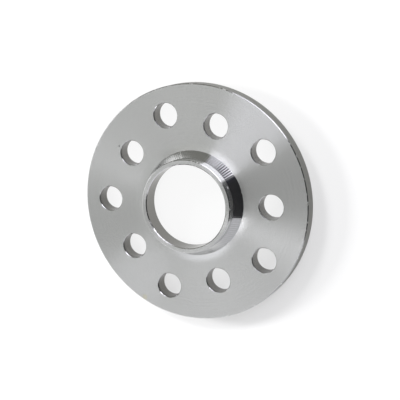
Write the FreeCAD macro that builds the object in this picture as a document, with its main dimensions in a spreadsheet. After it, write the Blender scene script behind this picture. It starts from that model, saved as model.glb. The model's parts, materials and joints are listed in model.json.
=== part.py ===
import FreeCAD, Part
import os
import Sketcher

# Wheel spacer: one disc turned and drilled from a single aluminium blank.
# The origin is in the middle of the hub side face, and Z runs along the axle towards the wheel.
# All sizes are in millimetres.

os.makedirs("parts", exist_ok=True)
doc = FreeCAD.newDocument("wheel_spacer")

# Driving sizes: name, number and what it measures
SIZES = [
    ("plate_dia", 146.0, "outside diameter of the plate"),
    ("plate_thick", 10.0, "width that the spacer adds between hub and wheel"),
    ("rim_break", 0.5, "bevel on both rims of the plate"),
    ("collar_rise", 13.0, "height of the collar over the wheel side face"),
    ("spigot_dia", 57.1, "cylinder that centres the wheel"),
    ("spigot_rise", 6.0, "length of that cylinder with its bevel"),
    ("foot_dia", 65.0, "foot of the cone between face and cylinder"),
    ("foot_round", 0.4, "inner corner radius at the foot of the cone"),
    ("lip_break", 0.4, "bevel on the outer edge of the lip"),
    ("bore_dia", 51.2, "bore through the lip"),
    ("bore_break", 0.5, "bevel on the inner edge of the lip"),
    ("step_break", 0.3, "bevel where the bore meets the recess"),
    ("recess_clear", 0.1, "room for the hub spigot in the recess, on diameter"),
    ("recess_depth", 11.0, "depth of the recess from the hub side face"),
    ("leadin_depth", 7.0, "length of the lead-in cone of the recess"),
    ("leadin_clear", 1.0, "room for a hub foot in the mouth of the recess, on diameter"),
    ("large_circle", 112.0, "larger bolt circle"),
    ("small_circle", 100.0, "smaller bolt circle"),
    ("circle_turn", 36.0, "angle from a hole of the larger circle to one of the smaller"),
    ("bolt_dia", 15.5, "bolt hole"),
    ("bolt_break", 0.3, "bevel on both mouths of a bolt hole"),
    ("overrun", 2.0, "how far a cutting outline runs past the metal"),
]

# Heights and radii that follow from the driving sizes
DERIVED = [
    ("rim_rad", "=plate_dia / 2"),
    ("rim_flat_rad", "=plate_dia / 2 - rim_break"),
    ("rim_top", "=plate_thick - rim_break"),
    ("foot_rad", "=foot_dia / 2"),
    ("spigot_rad", "=spigot_dia / 2"),
    ("lip_flat_rad", "=spigot_dia / 2 - lip_break"),
    ("lip_top", "=plate_thick + collar_rise"),
    ("spigot_start", "=plate_thick + collar_rise - spigot_rise"),
    ("spigot_end", "=plate_thick + collar_rise - lip_break"),
    ("bore_rad", "=bore_dia / 2"),
    ("bore_mouth_rad", "=bore_dia / 2 + bore_break"),
    ("bore_end", "=plate_thick + collar_rise - bore_break"),
    ("over_lip", "=plate_thick + collar_rise + overrun"),
    ("step_rad", "=bore_dia / 2 + step_break"),
    ("bore_start", "=recess_depth + step_break"),
    ("in_recess", "=recess_depth - overrun"),
    ("recess_rad", "=(spigot_dia + recess_clear) / 2"),
    ("leadin_rad", "=(foot_dia + leadin_clear) / 2"),
    ("large_rad", "=large_circle / 2"),
    ("large_wall", "=(large_circle + bolt_dia) / 2"),
    ("large_mouth", "=(large_circle + bolt_dia) / 2 + bolt_break"),
    ("small_rad", "=small_circle / 2"),
    ("small_wall", "=(small_circle + bolt_dia) / 2"),
    ("small_mouth", "=(small_circle + bolt_dia) / 2 + bolt_break"),
    ("bolt_wall_top", "=plate_thick - bolt_break"),
    ("over_plate", "=plate_thick + overrun"),
    ("under_plate", "=-overrun"),
]
HOLES_PER_CIRCLE = 5

sheet = doc.addObject("Spreadsheet::Sheet", "Sizes")
for row, (name, number, meaning) in enumerate(SIZES, start=1):
    sheet.set(f"A{row}", name)
    sheet.set(f"B{row}", str(number))
    sheet.set(f"C{row}", meaning)
    sheet.setAlias(f"B{row}", name)
for row, (name, formula) in enumerate(DERIVED, start=len(SIZES) + 2):
    sheet.set(f"A{row}", name)
    sheet.set(f"B{row}", formula)
    sheet.setAlias(f"B{row}", name)
doc.recompute()


def size(name):
    """A size from the sheet as a number. No name means zero."""
    return float(sheet.get(name)) if name else 0.0


def origin_feature(body, role):
    """The origin plane or axis of a body that has this role."""
    return next(item for item in body.Origin.OriginFeatures if item.Role == role)


def place_point(sketch, line, end, across, up):
    """Ties both coordinates of a line's end to sizes. No name puts the end on the axis."""
    for kind, name, axis in (("DistanceX", across, -2), ("DistanceY", up, -1)):
        if name:
            rule = Sketcher.Constraint(kind, -1, 1, line, end, size(name))
            number = sketch.addConstraint(rule)
            sketch.setExpression(f"Constraints[{number}]", f"Sizes.{name}")
        else:
            sketch.addConstraint(Sketcher.Constraint("PointOnObject", line, end, axis))


def closed_outline(body, label, points, turn=None):
    """A closed outline in a plane through the axle, each corner a pair of size names.

    The first name is the distance from the axle and the second the height over the hub side
    face. The plane can be turned about the axle by a named angle.
    """
    sketch = body.newObject("Sketcher::SketchObject", label)
    sketch.AttachmentSupport = [(origin_feature(body, "XZ_Plane"), "")]
    sketch.MapMode = "FlatFace"
    if turn:
        about_axle = FreeCAD.Rotation(FreeCAD.Vector(0, 1, 0), size(turn))
        sketch.AttachmentOffset = FreeCAD.Placement(FreeCAD.Vector(0, 0, 0), about_axle)
        sketch.setExpression("AttachmentOffset.Rotation.Angle", f"Sizes.{turn}")
    corners = [FreeCAD.Vector(size(across), size(up), 0) for across, up in points]
    for line, corner in enumerate(corners):
        following = corners[(line + 1) % len(corners)]
        sketch.addGeometry(Part.LineSegment(corner, following), False)
    for line in range(len(points)):
        following = (line + 1) % len(points)
        sketch.addConstraint(Sketcher.Constraint("Coincident", line, 2, following, 1))
    for line, (across, up) in enumerate(points):
        place_point(sketch, line, 1, across, up)
    return sketch


def groove(body, label, outline, axis):
    """A cut made by turning an outline once round an axis of its sketch."""
    before = body.Shape.Volume
    cut = body.newObject("PartDesign::Groove", label)
    cut.Profile = outline
    cut.ReferenceAxis = (outline, [axis])
    cut.Angle = 360.0
    doc.recompute()
    if cut.Shape.Volume >= before:
        raise RuntimeError(f"{label} removes nothing")
    return cut


def ring_edges(shape, radius, height):
    """Names of the circular edges round the axle that have this radius and height."""
    names = []
    for number, edge in enumerate(shape.Edges, start=1):
        if not isinstance(edge.Curve, Part.Circle):
            continue
        middle = edge.Curve.Center
        off = max(abs(middle.x), abs(middle.y), abs(middle.z - height), abs(edge.Curve.Radius - radius))
        if off < 1e-4:
            names.append(f"Edge{number}")
    return names


def bolt_holes(body, label, middle, wall, mouth, turn=None):
    """A circle of equally spaced through holes, bevelled at both mouths."""
    outline = closed_outline(body, f"{label}Outline", [
        (middle, "under_plate"),
        (mouth, "under_plate"),
        (mouth, None),
        (wall, "bolt_break"),
        (wall, "bolt_wall_top"),
        (mouth, "plate_thick"),
        (mouth, "over_plate"),
        (middle, "over_plate"),
    ], turn)
    low = FreeCAD.Vector(size(middle), size("under_plate"), 0)
    high = FreeCAD.Vector(size(middle), size("over_plate"), 0)
    line = outline.addGeometry(Part.LineSegment(low, high), True)
    outline.addConstraint(Sketcher.Constraint("Coincident", line, 1, 0, 1))
    outline.addConstraint(Sketcher.Constraint("Coincident", line, 2, 7, 1))
    hole = groove(body, f"{label}Hole", outline, "Axis0")
    before = body.Shape.Volume
    ring = body.newObject("PartDesign::PolarPattern", f"{label}Ring")
    ring.Originals = [hole]
    ring.Axis = (origin_feature(body, "Z_Axis"), [""])
    ring.Angle = 360.0
    ring.Occurrences = HOLES_PER_CIRCLE
    body.Tip = ring
    doc.recompute()
    if ring.Shape.Volume >= before:
        raise RuntimeError(f"{label} has one hole only")
    return ring


body = doc.addObject("PartDesign::Body", "WheelSpacer")
body.Label = "wheel_spacer"
body.Placement = FreeCAD.Placement(FreeCAD.Vector(0, 0, 0), FreeCAD.Rotation())

# Turned blank: flat plate, cone rising from its wheel side face and short centring cylinder
blank_outline = closed_outline(body, "BlankOutline", [
    (None, None),
    ("rim_flat_rad", None),
    ("rim_rad", "rim_break"),
    ("rim_rad", "rim_top"),
    ("rim_flat_rad", "plate_thick"),
    ("foot_rad", "plate_thick"),
    ("spigot_rad", "spigot_start"),
    ("spigot_rad", "spigot_end"),
    ("lip_flat_rad", "lip_top"),
    (None, "lip_top"),
])
blank = body.newObject("PartDesign::Revolution", "Blank")
blank.Profile = blank_outline
blank.ReferenceAxis = (blank_outline, ["V_Axis"])
blank.Angle = 360.0
doc.recompute()

# Small round in the corner between the cone and the face
foot = body.newObject("PartDesign::Fillet", "FootRound")
foot.Base = (blank, ring_edges(blank.Shape, size("foot_rad"), size("plate_thick")))
foot.Radius = size("foot_round")
foot.setExpression("Radius", "Sizes.foot_round")
doc.recompute()

# Recess for the hub spigot, with a long lead-in cone
recess_outline = closed_outline(body, "RecessOutline", [
    (None, "under_plate"),
    ("leadin_rad", "under_plate"),
    ("leadin_rad", None),
    ("recess_rad", "leadin_depth"),
    ("recess_rad", "recess_depth"),
    (None, "recess_depth"),
])
groove(body, "HubRecess", recess_outline, "V_Axis")

# Bore from the recess through the lip, bevelled at both ends
bore_outline = closed_outline(body, "BoreOutline", [
    (None, "in_recess"),
    ("step_rad", "in_recess"),
    ("step_rad", "recess_depth"),
    ("bore_rad", "bore_start"),
    ("bore_rad", "bore_end"),
    ("bore_mouth_rad", "lip_top"),
    ("bore_mouth_rad", "over_lip"),
    (None, "over_lip"),
])
groove(body, "LipBore", bore_outline, "V_Axis")

# Two bolt circles, their holes alternating round the plate
bolt_holes(body, "LargeCircle", "large_rad", "large_wall", "large_mouth")
bolt_holes(body, "SmallCircle", "small_rad", "small_wall", "small_mouth", "circle_turn")

doc.recompute()
for item in doc.Objects:
    if "Invalid" in item.State or "Error" in item.State:
        raise RuntimeError(f"{item.Label} did not compute")
if body.Shape.isNull() or not body.Shape.isValid() or len(body.Shape.Solids) != 1:
    raise RuntimeError("the spacer is not one valid solid")
body.Shape.exportStep(f"parts/{body.Label}.step")
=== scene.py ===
import json
import math
from typing import NamedTuple

import bmesh
import bpy
from mathutils import Matrix, Vector


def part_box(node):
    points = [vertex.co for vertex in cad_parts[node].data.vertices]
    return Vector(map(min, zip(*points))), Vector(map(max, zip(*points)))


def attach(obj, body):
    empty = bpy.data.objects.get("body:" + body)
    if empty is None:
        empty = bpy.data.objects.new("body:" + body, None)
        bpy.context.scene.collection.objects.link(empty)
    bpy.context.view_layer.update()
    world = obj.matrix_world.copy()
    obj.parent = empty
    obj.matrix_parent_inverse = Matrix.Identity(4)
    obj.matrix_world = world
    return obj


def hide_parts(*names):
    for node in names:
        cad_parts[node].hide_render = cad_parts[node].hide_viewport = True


# Wheel spacer, one turned and drilled disc, lying on its hub side. Lengths are in metres, apart
# from those in the finishes and their marks, which are in millimetres.
MM = 0.001
NODE = "wheel_spacer"

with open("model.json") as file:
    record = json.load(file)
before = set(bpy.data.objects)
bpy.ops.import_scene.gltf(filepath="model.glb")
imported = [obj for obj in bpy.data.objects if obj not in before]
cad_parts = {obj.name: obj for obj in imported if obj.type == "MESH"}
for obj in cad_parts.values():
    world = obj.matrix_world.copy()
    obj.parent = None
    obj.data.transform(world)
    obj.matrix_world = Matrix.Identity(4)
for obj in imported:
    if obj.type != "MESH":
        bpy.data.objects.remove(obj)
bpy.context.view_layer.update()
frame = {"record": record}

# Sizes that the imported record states
_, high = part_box(NODE)
mounts = {mount["name"]: mount for mount in frame["record"]["mounts"]}


def stated(mount, key):
    """A length in the record's mount, in metres."""
    return mounts[mount]["dims"][key] * MM


def stated_span(mount):
    """The lowest and the highest height of a mount that runs along the axle."""
    middle = mounts[mount]["pos_m"][2]
    half = stated(mount, "length_mm") / 2
    return middle - half, middle + half


RIM_RADIUS = high.x
LIP_TOP = high.z
PLATE_TOP = mounts["wheel_face"]["pos_m"][2]
SPIGOT_RADIUS = stated("wheel_spigot", "r_mm")
SPIGOT_LOW, SPIGOT_HIGH = stated_span("wheel_spigot")
BORE_RADIUS = stated("lip_bore", "r_mm")
BORE_LOW, BORE_HIGH = stated_span("lip_bore")
RECESS_RADIUS = stated("hub_recess", "r_mm")
RECESS_LOW, RECESS_HIGH = stated_span("hub_recess")
HOLE_RADIUS = stated("bolts_large", "hole_r_mm")

# Sizes of the small forms between them
RIM_BREAK = 0.5 * MM
FOOT_RADIUS = 32.5 * MM
FOOT_ROUND = 0.4 * MM
LIP_BREAK = LIP_TOP - SPIGOT_HIGH
BORE_BREAK = LIP_TOP - BORE_HIGH
STEP_BREAK = BORE_LOW - RECESS_HIGH
MOUTH_RADIUS = 33.0 * MM
HOLE_BREAK = 0.3 * MM
HOLES_PER_CIRCLE = 5
# Each bolt circle's mount and the turn of its first hole in degrees
CIRCLES = (("bolts_large", 0.0), ("bolts_small", 36.0))

AROUND_AXLE = 360
AROUND_HOLE = 96
ROUND_STEPS = 4
SHARP_ANGLE = math.radians(20)
# A face whose normal is steeper than this is one of the flat sides
UPRIGHT = 0.99999

# A direction on the floor that shows at some angle in the picture, counted from its right over its
# top, lies at that angle less this turn from +X
PICTURE_TURN = math.radians(106.0)

# The kinds of surface, each the number of its finish
FACE, CONE, SPIGOT, LIP, BORE, RIM, HOLE, INNER_BEVEL, OUTER_BEVEL, HUB = range(10)


def ring(bm, radius, height, count, middle=(0.0, 0.0)):
    """Vertices evenly round a circle."""
    return [
        bm.verts.new((
            middle[0] + radius * math.cos(math.tau * step / count),
            middle[1] + radius * math.sin(math.tau * step / count),
            height,
        ))
        for step in range(count)
    ]


def band(bm, lower, upper, zone):
    """Quads between two rings, which then have one finish."""
    count = len(lower)
    for step in range(count):
        following = (step + 1) % count
        face = bm.faces.new((lower[step], lower[following], upper[following], upper[step]))
        face.material_index = zone
        face.smooth = True


def foot_arc():
    """Points of the small round between the face and the cone, from the face up."""
    cone = Vector((SPIGOT_RADIUS - FOOT_RADIUS, SPIGOT_LOW - PLATE_TOP))
    lean = math.atan2(cone.y, -cone.x)
    run = FOOT_ROUND * math.tan(lean / 2)
    centre = Vector((FOOT_RADIUS + run, PLATE_TOP + FOOT_ROUND))
    return [
        (
            centre.x - FOOT_ROUND * math.sin(lean * step / ROUND_STEPS),
            centre.y - FOOT_ROUND * math.cos(lean * step / ROUND_STEPS),
        )
        for step in range(ROUND_STEPS + 1)
    ]


def turned_section():
    """The section's two outlines as (radius, height, finish of the band that ends there).

    The outer one runs from the hub side face up the rim to the wheel side face. The inner one goes
    on from there over the collar and down through the bore to the recess's mouth.
    """
    outer = [
        (RIM_RADIUS - RIM_BREAK, 0.0, None),
        (RIM_RADIUS, RIM_BREAK, OUTER_BEVEL),
        (RIM_RADIUS, PLATE_TOP - RIM_BREAK, RIM),
        (RIM_RADIUS - RIM_BREAK, PLATE_TOP, OUTER_BEVEL),
    ]
    arc = foot_arc()
    inner = [(arc[0][0], arc[0][1], None)]
    inner += [(radius, height, OUTER_BEVEL) for radius, height in arc[1:]]
    inner += [
        (SPIGOT_RADIUS, SPIGOT_LOW, CONE),
        (SPIGOT_RADIUS, SPIGOT_HIGH, SPIGOT),
        (SPIGOT_RADIUS - LIP_BREAK, LIP_TOP, OUTER_BEVEL),
        (BORE_RADIUS + BORE_BREAK, LIP_TOP, LIP),
        (BORE_RADIUS, BORE_HIGH, INNER_BEVEL),
        (BORE_RADIUS, BORE_LOW, BORE),
        (BORE_RADIUS + STEP_BREAK, RECESS_HIGH, OUTER_BEVEL),
        (RECESS_RADIUS, RECESS_HIGH, HUB),
        (RECESS_RADIUS, RECESS_LOW, BORE),
        (MOUTH_RADIUS, 0.0, BORE),
    ]
    return outer, inner


def lathe(bm, section):
    """Rings along a section, joined by bands. Gives the first and the last ring."""
    first = last = ring(bm, section[0][0], section[0][1], AROUND_AXLE)
    for radius, height, zone in section[1:]:
        following = ring(bm, radius, height, AROUND_AXLE)
        band(bm, last, following, zone)
        last = following
    return first, last


def bolt_hole(bm, middle):
    """A through hole with both mouths bevelled. Gives its lowest and highest ring."""
    steps = (
        (HOLE_RADIUS + HOLE_BREAK, 0.0, None),
        (HOLE_RADIUS, HOLE_BREAK, INNER_BEVEL),
        (HOLE_RADIUS, PLATE_TOP - HOLE_BREAK, HOLE),
        (HOLE_RADIUS + HOLE_BREAK, PLATE_TOP, INNER_BEVEL),
    )
    first = last = ring(bm, steps[0][0], steps[0][1], AROUND_HOLE, middle)
    for radius, height, zone in steps[1:]:
        following = ring(bm, radius, height, AROUND_HOLE, middle)
        band(bm, following, last, zone)
        last = following
    return first, last


def hole_middles():
    """The middles of all bolt holes, circle by circle."""
    middles = []
    for name, turn in CIRCLES:
        radius = stated(name, "pcd_mm") / 2
        for step in range(HOLES_PER_CIRCLE):
            angle = math.radians(turn) + math.tau * step / HOLES_PER_CIRCLE
            middles.append((radius * math.cos(angle), radius * math.sin(angle)))
    return middles


def flat_side(bm, loops, zone):
    """A flat face inside the first loop and outside the others."""
    edges = []
    for loop in loops:
        for step, vertex in enumerate(loop):
            edges.append(bm.edges.get((vertex, loop[(step + 1) % len(loop)])))
    made = bmesh.ops.triangle_fill(bm, use_beauty=True, use_dissolve=False, edges=edges)
    for item in made["geom"]:
        if isinstance(item, bmesh.types.BMFace):
            item.material_index = zone
            item.smooth = True


def mark_edges(bm):
    """Keeps edges crisp where the surface turns sharply or leaves a flat side."""
    for edge in bm.edges:
        flat = [abs(face.normal.z) > UPRIGHT for face in edge.link_faces]
        edge.smooth = flat[0] == flat[1] and edge.calc_face_angle() < SHARP_ANGLE


def spacer_mesh():
    """The whole disc as one closed mesh, each kind of surface with a finish of its own."""
    bm = bmesh.new()
    outer, inner = turned_section()
    hub_edge, rim_edge = lathe(bm, outer)
    foot_edge, mouth_edge = lathe(bm, inner)
    below = [hub_edge, mouth_edge]
    above = [rim_edge, foot_edge]
    for middle in hole_middles():
        lower, upper = bolt_hole(bm, middle)
        below.append(lower)
        above.append(upper)
    flat_side(bm, below, HUB)
    flat_side(bm, above, FACE)
    bmesh.ops.recalc_face_normals(bm, faces=bm.faces)
    bm.normal_update()
    mark_edges(bm)
    mesh = bpy.data.meshes.new("spacer")
    bm.to_mesh(mesh)
    bm.free()
    return mesh


def feed(tree, socket, value):
    """Links a socket to another, or sets it to a plain value."""
    if isinstance(value, bpy.types.NodeSocket):
        tree.links.new(value, socket)
    else:
        socket.default_value = value


def number(tree, operation, first, second=0.0):
    """A math node. Each input is a socket or a plain number."""
    node = tree.nodes.new("ShaderNodeMath")
    node.operation = operation
    feed(tree, node.inputs[0], first)
    feed(tree, node.inputs[1], second)
    return node.outputs[0]


def direction(tree, operation, first, second=(0.0, 0.0, 0.0)):
    """A vector math node. Each input is a socket or three plain numbers."""
    node = tree.nodes.new("ShaderNodeVectorMath")
    node.operation = operation
    feed(tree, node.inputs[0], first)
    feed(tree, node.inputs[1], second)
    return node.outputs["Value"] if operation == "LENGTH" else node.outputs["Vector"]


def scaled(tree, vector, factor):
    """A vector, as a socket or three plain numbers, times a socket."""
    node = tree.nodes.new("ShaderNodeVectorMath")
    node.operation = "SCALE"
    feed(tree, node.inputs[0], vector)
    feed(tree, node.inputs["Scale"], factor)
    return node.outputs["Vector"]


def soft_step(tree, value, start, end, low=0.0, high=1.0):
    """Goes smoothly from low at start to high at end."""
    node = tree.nodes.new("ShaderNodeMapRange")
    node.interpolation_type = "SMOOTHSTEP"
    feed(tree, node.inputs["Value"], value)
    feed(tree, node.inputs["From Min"], start)
    feed(tree, node.inputs["From Max"], end)
    feed(tree, node.inputs["To Min"], low)
    feed(tree, node.inputs["To Max"], high)
    return node.outputs[0]


def colour_mix(tree, share, under, over):
    """Two colours mixed by a share. Each colour is a socket or three numbers."""
    node = tree.nodes.new("ShaderNodeMix")
    node.data_type = "RGBA"
    feed(tree, node.inputs[0], share)
    for socket, colour in ((node.inputs[6], under), (node.inputs[7], over)):
        feed(tree, socket, (*colour, 1.0) if isinstance(colour, tuple) else colour)
    return node.outputs[2]


def noise(tree, place, scale, detail=2.0):
    """Noise between 0 and 1 at a place. The scale is one number, or one for each direction."""
    if not isinstance(scale, tuple):
        scale = (scale, scale, scale)
    node = tree.nodes.new("ShaderNodeTexNoise")
    node.inputs["Scale"].default_value = 1.0
    node.inputs["Detail"].default_value = detail
    feed(tree, node.inputs["Vector"], direction(tree, "MULTIPLY", place, scale))
    return node.outputs["Fac"]


def to_world(tree, vector):
    """A direction of the spacer's own, turned into the world's."""
    node = tree.nodes.new("ShaderNodeVectorTransform")
    node.vector_type = "VECTOR"
    node.convert_from = "OBJECT"
    node.convert_to = "WORLD"
    feed(tree, node.inputs[0], vector)
    return node.outputs[0]


def around_axle(tree):
    """The spot's place in metres, and its coordinates round the axle.

    They are the millimetres out from it, the turn in degrees and the millimetres up. There are also
    the direction outward, the surface's normal and its direction across the turning grooves.
    """
    place = tree.nodes.new("ShaderNodeTexCoord").outputs["Object"]
    flat = direction(tree, "MULTIPLY", place, (1.0, 1.0, 0.0))
    spoke = direction(tree, "NORMALIZE", flat)
    split = tree.nodes.new("ShaderNodeSeparateXYZ")
    tree.links.new(place, split.inputs[0])
    turn = number(tree, "ARCTAN2", split.outputs["Y"], split.outputs["X"])
    normal = tree.nodes.new("ShaderNodeNewGeometry").outputs["Normal"]
    round_axle = to_world(tree, direction(tree, "CROSS_PRODUCT", (0.0, 0.0, 1.0), spoke))
    return {
        "place": place,
        "out": number(tree, "DIVIDE", direction(tree, "LENGTH", flat), MM),
        "turn": number(tree, "DEGREES", turn),
        "up": number(tree, "DIVIDE", split.outputs["Z"], MM),
        "spoke": spoke,
        "normal": normal,
        "across": direction(tree, "CROSS_PRODUCT", round_axle, normal),
    }


# How ragged a spot's outline is, and the shares of its radius between which it fades
SPOT_SCALE = 2500.0
SPOT_FADE = (1.2, 0.8)
# The share of a line's and of a ring's half width that has its full strength
LINE_CORE = 0.4
RING_CORE = 0.3
PATCH_DETAIL = 3.0


def near_spot(tree, spot, centre, radius):
    """1 inside a small round spot and 0 outside. Its centre and radius are in millimetres."""
    middle = tuple(length * MM for length in centre)
    away = direction(tree, "LENGTH", direction(tree, "SUBTRACT", spot["place"], middle))
    ragged = noise(tree, spot["place"], SPOT_SCALE)
    # The noise is one half on average, so that twice the radius gives the radius
    reach = number(tree, "MULTIPLY", ragged, radius * MM * 2.0)
    return soft_step(tree, number(tree, "DIVIDE", away, reach), *SPOT_FADE)


def near_line(tree, spot, start, end, width):
    """1 on a thin line between two points, each a turn in degrees and a height in millimetres."""
    slant = (end[0] - start[0]) / (end[1] - start[1])
    along = number(tree, "MULTIPLY", number(tree, "SUBTRACT", spot["up"], start[1]), slant)
    off = number(tree, "SUBTRACT", number(tree, "SUBTRACT", spot["turn"], start[0]), along)
    return soft_step(tree, number(tree, "ABSOLUTE", off), width, width * LINE_CORE)


def near_height(tree, spot, height, width):
    """1 on a ring at a height and 0 away from it, in millimetres."""
    off = number(tree, "ABSOLUTE", number(tree, "SUBTRACT", spot["up"], height))
    return soft_step(tree, off, width, width * RING_CORE)


def in_patches(tree, spot, scale, start, end):
    """0 up to one level of a noise and 1 from another, which gives ragged patches."""
    return soft_step(tree, noise(tree, spot["place"], scale, PATCH_DETAIL), start, end)


class Chatter(NamedTuple):
    """Waves that a shaking tool leaves.

    They lean the surface along its section and sway it round the axle, both as slopes. There are so
    many waves in a turn. They are strongest at one turn and fade at a reach from it, in degrees.
    """

    lean: float
    sway: float
    waves: float
    strongest: float
    reach: float


class RunOut(NamedTuple):
    """Where the tool ran out of a corner.

    Between two places along the section the surface comes to lean more, as a slope, and its
    roughness falls to a share.
    """

    start: float
    end: float
    lean: float
    roughness: float


class Mark(NamedTuple):
    """A mark on the surface, a fault or painted shade: a function for its shape, the sizes that it
    takes, and its look.
    """

    shape: object
    sizes: tuple
    tint: tuple
    roughness: float


class Finish(NamedTuple):
    """Bare metal with fine turning grooves, each with a flat bottom and a steeper flank.

    The grooves follow the section outward or upward at a pitch, and the flank is a share of it.
    Slopes and roughness are those of the flat bottom and of the flank. Patterns say how much
    rings, clouds and grain vary the colour.
    """

    name: str
    colour: tuple
    along: str
    pitch: float
    flank: float
    slopes: tuple
    roughness: tuple
    anisotropic: float = 0.95
    patterns: tuple = (0.18, 0.05, 0.24)
    chatter: Chatter = None
    run_out: RunOut = None
    marks: tuple = ()


# Scales and details of the noises in the metal
WAVER_SCALE = 300.0
RINGS = ((0.9, 1.0, 1.0), 4.0)
CLOUDS = (45.0, 3.0)
GRAIN = (900.0, 2.0)
# The share of the chatter that is left beyond its reach, the share of the reach at full strength,
# the waves to one swing of the sway, its detail, and how much the waves vary the colour in step
# with their slope, partly as their own tone and partly as painted shading
CHATTER_ELSEWHERE = 0.25
CHATTER_CORE = 0.6
WAVES_PER_SWING = 6.0
SWAY_DETAIL = 3.0
CHATTER_TONE_AND_SHADE = 3.0
# Turned metal spreads its reflections across the grooves
ACROSS_GROOVES = 0.25


def bare_metal(name, anisotropic):
    """A metal with its tangent round the axle. Gives it with its shader and that tangent."""
    material = bpy.data.materials.new(name)
    material.use_nodes = True
    tree = material.node_tree
    shader = tree.nodes["Principled BSDF"]
    shader.inputs["Metallic"].default_value = 1.0
    shader.inputs["Anisotropic"].default_value = anisotropic
    shader.inputs["Anisotropic Rotation"].default_value = ACROSS_GROOVES
    node = tree.nodes.new("ShaderNodeTangent")
    node.direction_type = "RADIAL"
    node.axis = "Z"
    tangent = node.outputs["Tangent"]
    tree.links.new(tangent, shader.inputs["Tangent"])
    return material, shader, tangent


def on_flank(tree, spot, finish):
    """1 on a groove's flank and 0 on its flat bottom."""
    waver = noise(tree, spot["place"], WAVER_SCALE)
    grooves = number(tree, "DIVIDE", spot[finish.along], finish.pitch)
    phase = number(tree, "FRACT", number(tree, "ADD", grooves, waver))
    return number(tree, "LESS_THAN", phase, finish.flank)


def chatter_ripple(tree, spot, chatter):
    """How much the chatter leans the surface along its section, as a slope."""
    wave = number(tree, "SINE", number(tree, "MULTIPLY", spot["turn"], math.radians(chatter.waves)))
    off = number(tree, "ABSOLUTE", number(tree, "SUBTRACT", spot["turn"], chatter.strongest))
    core = chatter.reach * CHATTER_CORE
    strength = soft_step(tree, off, chatter.reach, core, CHATTER_ELSEWHERE, 1.0)
    return number(tree, "MULTIPLY", number(tree, "MULTIPLY", wave, strength), chatter.lean)


def chatter_sway(tree, spot, chatter):
    """How much the chatter leans the surface round the axle, as a slope."""
    uneven = noise(tree, spot["spoke"], chatter.waves / WAVES_PER_SWING, SWAY_DETAIL)
    return number(tree, "MULTIPLY", number(tree, "SUBTRACT", uneven, 0.5), chatter.sway)


def leaning_normal(tree, spot, finish, flank, ripple, tangent):
    """The normal, leaning by the grooves, the run-out and the chatter."""
    slope = soft_step(tree, flank, 0.0, 1.0, *finish.slopes)
    if finish.run_out:
        start, end, lean, _ = finish.run_out
        slope = number(tree, "ADD", slope, soft_step(tree, spot[finish.along], start, end, 0.0, lean))
    slope = number(tree, "ADD", slope, ripple)
    leaning = direction(tree, "ADD", spot["normal"], scaled(tree, spot["across"], slope))
    if finish.chatter:
        sway = chatter_sway(tree, spot, finish.chatter)
        leaning = direction(tree, "ADD", leaning, scaled(tree, tangent, sway))
    return direction(tree, "NORMALIZE", leaning)


def uneven_colour(tree, spot, finish, ripple):
    """The metal's colour, varied by rings, clouds and grain, and by the chatter as tone and painted
    shading.
    """
    travel = scaled(tree, (1.0, 0.0, 0.0), spot[finish.along])
    layers = (
        noise(tree, travel, *RINGS),
        noise(tree, spot["place"], *CLOUDS),
        noise(tree, spot["place"], *GRAIN),
    )
    # The chatter lightens and darkens the colour in step with its slope: partly the marks' own tone,
    # partly painted shading of the waves
    level = number(tree, "MULTIPLY", ripple, CHATTER_TONE_AND_SHADE)
    for layer, amount in zip(layers, finish.patterns):
        swing = number(tree, "MULTIPLY", number(tree, "SUBTRACT", layer, 0.5), amount)
        level = number(tree, "ADD", level, swing)
    return scaled(tree, finish.colour, number(tree, "ADD", level, 1.0))


def groove_roughness(tree, spot, finish, flank):
    """The roughness of flat bottom and flank, lower where the tool ran out."""
    dull = soft_step(tree, flank, 0.0, 1.0, *finish.roughness)
    if finish.run_out:
        start, end, _, left = finish.run_out
        share = soft_step(tree, spot[finish.along], start, end, 1.0, left)
        dull = number(tree, "MULTIPLY", dull, share)
    return dull


def turned(finish):
    """The material of one finish."""
    material, shader, tangent = bare_metal(finish.name, finish.anisotropic)
    tree = material.node_tree
    spot = around_axle(tree)
    flank = on_flank(tree, spot, finish)
    ripple = chatter_ripple(tree, spot, finish.chatter) if finish.chatter else 0.0
    colour = uneven_colour(tree, spot, finish, ripple)
    dull = groove_roughness(tree, spot, finish, flank)
    for mark in finish.marks:
        mask = mark.shape(tree, spot, *mark.sizes)
        colour = colour_mix(tree, mask, colour, mark.tint)
        change = number(tree, "MULTIPLY", mask, number(tree, "SUBTRACT", mark.roughness, dull))
        dull = number(tree, "ADD", dull, change)
    normal = leaning_normal(tree, spot, finish, flank, ripple, tangent)
    tree.links.new(normal, shader.inputs["Normal"])
    tree.links.new(dull, shader.inputs["Roughness"])
    tree.links.new(colour, shader.inputs["Base Color"])
    return material


# A faint yellowish blemish near the rim and a dark speck beside a hole
FACE_MARKS = (
    Mark(near_spot, ((-48.5, 52.0, 10.0), 1.7), (0.64, 0.625, 0.53), 0.40),
    Mark(near_spot, ((47.0, 36.4, 10.0), 0.45), (0.01, 0.01, 0.01), 0.50),
)
# A light line across the cone, and a dark line of painted shade in the corner where it meets the
# cylinder
CONE_MARKS = (
    Mark(near_line, ((-9.0, 17.0), (-3.2, 10.0), 0.70), (0.97, 0.97, 0.96), 0.20),
    # Painted shade: a dark ring in the corner between the cone and the cylinder
    Mark(near_height, (17.0, 0.16), (0.30, 0.30, 0.30), 0.30),
)
# A light dot on the cylinder
SPIGOT_MARKS = (
    Mark(near_spot, ((3.6, -28.32, 18.6), 0.75), (0.97, 0.97, 0.97), 1.0),
)
# The walls of the holes are darker near the wheel side
HOLE_MARKS = (
    Mark(near_height, (9.7, 1.8), (0.05, 0.05, 0.047), 0.30),
)
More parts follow.
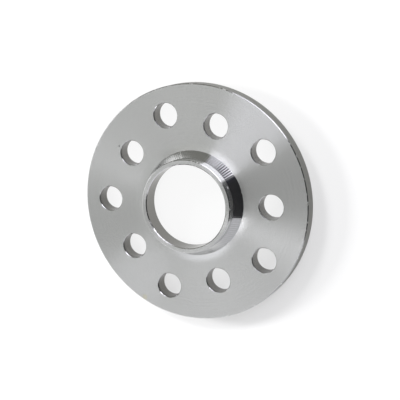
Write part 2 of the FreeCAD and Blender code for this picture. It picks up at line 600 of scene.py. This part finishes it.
# Where edges were rubbed or knocked in handling they are duller, and a few spots are darker
EDGE_MARKS = (
    Mark(in_patches, (420.0, 0.54, 0.66), (0.74, 0.74, 0.73), 0.42),
    Mark(in_patches, (1300.0, 0.66, 0.72), (0.30, 0.30, 0.29), 0.50),
)
# Dull patches where the hub rubbed
HUB_MARKS = (
    Mark(in_patches, (140.0, 0.55, 0.70), (0.55, 0.55, 0.545), 0.50),
)

# One finish for each kind of surface, in the order of their numbers
FINISHES = (
    Finish(
        "turned_face", (0.66, 0.665, 0.66), along="out", pitch=0.21, flank=0.5,
        slopes=(0.0, 0.34), roughness=(0.20, 0.46), anisotropic=1.0,
        run_out=RunOut(start=39.0, end=33.0, lean=0.20, roughness=0.60), marks=FACE_MARKS,
    ),
    Finish(
        "turned_cone", (0.62, 0.625, 0.62), along="up", pitch=0.19, flank=0.3,
        slopes=(-0.23, -0.21), roughness=(0.10, 0.15), anisotropic=0.9,
        chatter=Chatter(lean=0.10, sway=0.03, waves=132.0, strongest=-59.0, reach=24.0),
        marks=CONE_MARKS,
    ),
    Finish(
        "turned_spigot", (0.78, 0.785, 0.78), along="up", pitch=0.19, flank=0.3,
        slopes=(-0.21, -0.17), roughness=(0.08, 0.13), anisotropic=0.9,
        chatter=Chatter(lean=0.02, sway=0.02, waves=150.0, strongest=-59.0, reach=24.0),
        marks=SPIGOT_MARKS,
    ),
    Finish(
        "turned_lip", (0.60, 0.605, 0.60), along="out", pitch=0.19, flank=0.4,
        slopes=(0.0, 0.08), roughness=(0.27, 0.38),
    ),
    # Painted shade: the bore's colour is darkened far below the face's, so that it looks as if it
    # mirrored dark surroundings
    Finish(
        "bored_wall", (0.20, 0.197, 0.184), along="up", pitch=0.20, flank=0.3,
        slopes=(0.0, 0.04), roughness=(0.10, 0.16), anisotropic=0.8,
    ),
    # Painted shade: the rim's colour is darkened far below the face's, so that it looks as if it
    # mirrored the shadowed floor
    Finish(
        "turned_rim", (0.23, 0.23, 0.213), along="up", pitch=0.22, flank=0.3,
        slopes=(0.0, 0.10), roughness=(0.34, 0.45), anisotropic=0.8,
    ),
    # Painted shade: the hole walls' colour is darkened far below the face's, so that they look as if
    # they mirrored dark surroundings
    Finish(
        "drilled_wall", (0.165, 0.162, 0.152), along="up", pitch=0.85, flank=0.4,
        slopes=(-0.08, 0.25), roughness=(0.22, 0.34), anisotropic=0.0,
        patterns=(1.8, 0.9, 0.5), marks=HOLE_MARKS,
    ),
    Finish(
        "inner_bevel", (0.88, 0.88, 0.88), along="up", pitch=0.20, flank=0.3,
        slopes=(0.0, 0.03), roughness=(0.13, 0.18), anisotropic=0.0, marks=EDGE_MARKS,
    ),
    Finish(
        "outer_bevel", (0.66, 0.66, 0.66), along="up", pitch=0.20, flank=0.3,
        slopes=(-0.10, -0.06), roughness=(0.13, 0.19), anisotropic=0.8, marks=EDGE_MARKS,
    ),
    Finish(
        "hub_face", (0.62, 0.625, 0.62), along="out", pitch=0.21, flank=0.5,
        slopes=(0.0, 0.20), roughness=(0.32, 0.46), marks=HUB_MARKS,
    ),
)


def build_spacer():
    """The spacer, standing for the node of the same form."""
    spacer = bpy.data.objects.new("spacer_turned", spacer_mesh())
    bpy.context.scene.collection.objects.link(spacer)
    for finish in FINISHES:
        spacer.data.materials.append(turned(finish))
    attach(spacer, "root")
    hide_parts(NODE)


FLOOR_HALF = 2.0
FLOOR_DROP = 0.02 * MM
FLOOR_COLOUR = (0.5, 0.5, 0.5, 1.0)
# The upper holes show the floor nearly white and the lower ones greyer, so that the floor has more
# light of its own round a point above the axle in the picture, fading between two distances from it
FLOOR_LIGHT_MIDDLE = (25.0 * MM, 2.0 * MM, 0.0)
FLOOR_LIGHT_NEAR = 45.0 * MM
FLOOR_LIGHT_FAR = 100.0 * MM
OWN_LIGHT_NEAR = 0.90
OWN_LIGHT_FAR = 0.40


def own_light(tree):
    """The share of the floor's look that is its own white light, seen directly or mirrored."""
    path = tree.nodes.new("ShaderNodeLightPath")
    seen = number(tree, "ADD", path.outputs["Is Camera Ray"], path.outputs["Is Glossy Ray"])
    seen = number(tree, "ADD", seen, path.outputs["Is Transmission Ray"])
    place = tree.nodes.new("ShaderNodeTexCoord").outputs["Object"]
    away = direction(tree, "LENGTH", direction(tree, "SUBTRACT", place, FLOOR_LIGHT_MIDDLE))
    own = soft_step(tree, away, FLOOR_LIGHT_NEAR, FLOOR_LIGHT_FAR, OWN_LIGHT_NEAR, OWN_LIGHT_FAR)
    return number(tree, "MULTIPLY", seen, own)


def floor_material():
    """Matt white that keeps a shadow, mixed with white light of its own."""
    material = bpy.data.materials.new("floor")
    material.use_nodes = True
    tree = material.node_tree
    shader = tree.nodes["Principled BSDF"]
    shader.inputs["Base Color"].default_value = FLOOR_COLOUR
    shader.inputs["Roughness"].default_value = 1.0
    shader.inputs["Specular IOR Level"].default_value = 0.0
    glow = tree.nodes.new("ShaderNodeEmission")
    mix = tree.nodes.new("ShaderNodeMixShader")
    tree.links.new(own_light(tree), mix.inputs["Fac"])
    tree.links.new(shader.outputs[0], mix.inputs[1])
    tree.links.new(glow.outputs[0], mix.inputs[2])
    tree.links.new(mix.outputs[0], tree.nodes["Material Output"].inputs["Surface"])
    return material


def build_floor():
    """A plain white floor that keeps the spacer's shadow."""
    mesh = bpy.data.meshes.new("floor")
    signs = ((-1, -1), (1, -1), (1, 1), (-1, 1))
    corners = [(across * FLOOR_HALF, along * FLOOR_HALF, 0.0) for across, along in signs]
    mesh.from_pydata(corners, [], [(0, 1, 2, 3)])
    mesh.materials.append(floor_material())
    floor = bpy.data.objects.new("floor", mesh)
    bpy.context.scene.collection.objects.link(floor)
    floor.location.z = -FLOOR_DROP


class Panel(NamedTuple):
    """A panel that stands round the spacer, with all its angles in degrees.

    It spans two angles in the picture at the horizon and two at the height of SLANT_TOP, and it
    reaches up to an elevation. Its low tone turns into its high tone between two elevations.
    Softness is how far its sides take to fade.
    """

    span: tuple
    high_span: tuple
    top: float
    low_tone: tuple
    high_tone: tuple
    climb: tuple
    softness: float


SLANT_TOP = 66.0
TOP_FADE = 4.0
SKY = (0.74, 0.745, 0.735)
# The panels are above, left, below, lower right, right, upper right and low in front of the last
# one. The one at the right is nearly black and stands between two bright ones.
PANELS = (
    Panel((66, 153), (80, 153), 60, (0.24, 0.24, 0.222), (1.02, 1.02, 1.00), (30, 57), 16),
    Panel((160, 224), (160, 224), 60, (0.56, 0.57, 0.56), (0.70, 0.705, 0.70), (8, 45), 16),
    Panel((224, 285), (224, 285), 60, (0.74, 0.74, 0.76), (1.38, 1.38, 1.43), (32, 52), 20),
    Panel((278, 336), (276, 320), 70, (0.64, 0.64, 0.67), (4.20, 4.18, 4.34), (51, 63), 16),
    Panel((-27, 34), (-49, 38), 86, (0.028, 0.028, 0.030), (0.018, 0.018, 0.020), (20, 45), 2),
    Panel((34, 79), (41, 96), 70, (0.46, 0.46, 0.50), (2.44, 2.42, 2.60), (22, 29), 2),
    Panel((31, 62), (34, 62), 24, (0.04, 0.04, 0.06), (0.04, 0.04, 0.06), (0, 30), 16),
)


def angle_off(tree, parts, centre):
    """How far the view's direction is round from an angle in the picture, in degrees."""
    middle = math.radians(centre) - PICTURE_TURN
    east, north = parts.outputs["X"], parts.outputs["Y"]
    ahead = number(tree, "ADD", number(tree, "MULTIPLY", east, math.cos(middle)),
                   number(tree, "MULTIPLY", north, math.sin(middle)))
    aside = number(tree, "SUBTRACT", number(tree, "MULTIPLY", north, math.cos(middle)),
                   number(tree, "MULTIPLY", east, math.sin(middle)))
    return number(tree, "DEGREES", number(tree, "ARCTAN2", aside, ahead))


def panel_share(tree, parts, elevation, raised, panel):
    """1 on a panel and 0 off it. Raised is the elevation as a share of SLANT_TOP."""
    centre = sum(panel.span) / 2
    off = angle_off(tree, parts, centre)
    share = soft_step(tree, elevation, panel.top + TOP_FADE, panel.top - TOP_FADE)
    for start, high_start, inward in zip(panel.span, panel.high_span, (1.0, -1.0)):
        lean = number(tree, "MULTIPLY", raised, high_start - start)
        edge = number(tree, "ADD", lean, start - centre)
        inside = number(tree, "MULTIPLY", number(tree, "SUBTRACT", off, edge), inward)
        side = soft_step(tree, inside, -panel.softness / 2, panel.softness / 2)
        share = number(tree, "MULTIPLY", share, side)
    return share


def build_world():
    """Plain surroundings with soft panels, which the bare metal mirrors."""
    world = bpy.data.worlds.new("studio")
    bpy.context.scene.world = world
    world.use_nodes = True
    tree = world.node_tree
    parts = tree.nodes.new("ShaderNodeSeparateXYZ")
    tree.links.new(tree.nodes.new("ShaderNodeTexCoord").outputs["Generated"], parts.inputs[0])
    elevation = number(tree, "DEGREES", number(tree, "ARCSINE", parts.outputs["Z"]))
    raised = number(tree, "DIVIDE", number(tree, "MAXIMUM", elevation, 0.0), SLANT_TOP)
    colour = SKY
    for panel in PANELS:
        climbed = soft_step(tree, elevation, *panel.climb)
        tone = colour_mix(tree, climbed, panel.low_tone, panel.high_tone)
        share = panel_share(tree, parts, elevation, raised, panel)
        colour = colour_mix(tree, share, colour, tone)
    tree.links.new(colour, tree.nodes["Background"].inputs["Color"])


# The lamps light the floor and cast the shadow. The metal mirrors the panels and not the lamps.
# Each has a name, an angle in the picture and an elevation in degrees, the length of its sides and
# its radiance, where 1 shows as white.
LAMP_DISTANCE = 1.2
LAMPS = (
    ("from_left", 170, 21, 0.26, 140.0),
    ("from_top", 130, 38, 0.30, 46.0),
    ("from_above", 24, 80, 0.30, 20.0),
)


def towards(picture_angle, elevation):
    """A direction given by its angle in the picture and its elevation over the floor, in degrees."""
    around = math.radians(picture_angle) - PICTURE_TURN
    up = math.radians(elevation)
    return Vector((math.cos(around) * math.cos(up), math.sin(around) * math.cos(up), math.sin(up)))


def build_lamp(name, picture_angle, elevation, side, radiance):
    """A square lamp that faces the spacer."""
    lamp = bpy.data.lights.new(name, "AREA")
    lamp.shape = "RECTANGLE"
    lamp.size = side
    lamp.size_y = side
    lamp.energy = radiance * math.pi * side * side
    box = bpy.data.objects.new(name, lamp)
    bpy.context.scene.collection.objects.link(box)
    away = towards(picture_angle, elevation)
    box.location = away * LAMP_DISTANCE
    box.rotation_euler = away.to_track_quat("Z", "Y").to_euler()
    box.visible_camera = False
    box.visible_glossy = False


# The photograph's view, as fitted: the side of the picture and the focal length in its pixels, the
# sensor in millimetres, where the camera stands as seen from the point that it aims at, and how
# far it is rolled
PICTURE_SIDE = 400.0
FOCAL_LENGTH = 1170.4
SENSOR_WIDTH = 36.0
CAMERA_AZIMUTH = math.radians(8.412)
CAMERA_ELEVATION = math.radians(65.526)
CAMERA_ROLL = math.radians(-115.44)
CAMERA_DISTANCE = 712.75 * MM
CAMERA_AIM = Vector((0.65 * MM, -4.80 * MM, PLATE_TOP))


def build_camera():
    """The photograph's view: from the wheel side, tilted away from the axle."""
    lens = bpy.data.cameras.new("camera")
    lens.sensor_width = SENSOR_WIDTH
    lens.lens = FOCAL_LENGTH / PICTURE_SIDE * SENSOR_WIDTH
    camera = bpy.data.objects.new("camera", lens)
    bpy.context.scene.collection.objects.link(camera)
    back = Vector((
        math.sin(CAMERA_AZIMUTH) * math.cos(CAMERA_ELEVATION),
        -math.cos(CAMERA_AZIMUTH) * math.cos(CAMERA_ELEVATION),
        math.sin(CAMERA_ELEVATION),
    ))
    camera.location = CAMERA_AIM + back * CAMERA_DISTANCE
    level = back.to_track_quat("Z", "Y").to_matrix()
    camera.rotation_euler = (level @ Matrix.Rotation(CAMERA_ROLL, 3, "Z")).to_euler()
    bpy.context.scene.camera = camera


build_spacer()
build_floor()
build_world()
for lamp in LAMPS:
    build_lamp(*lamp)
build_camera()

bpy.context.scene.view_settings.view_transform = "Standard"
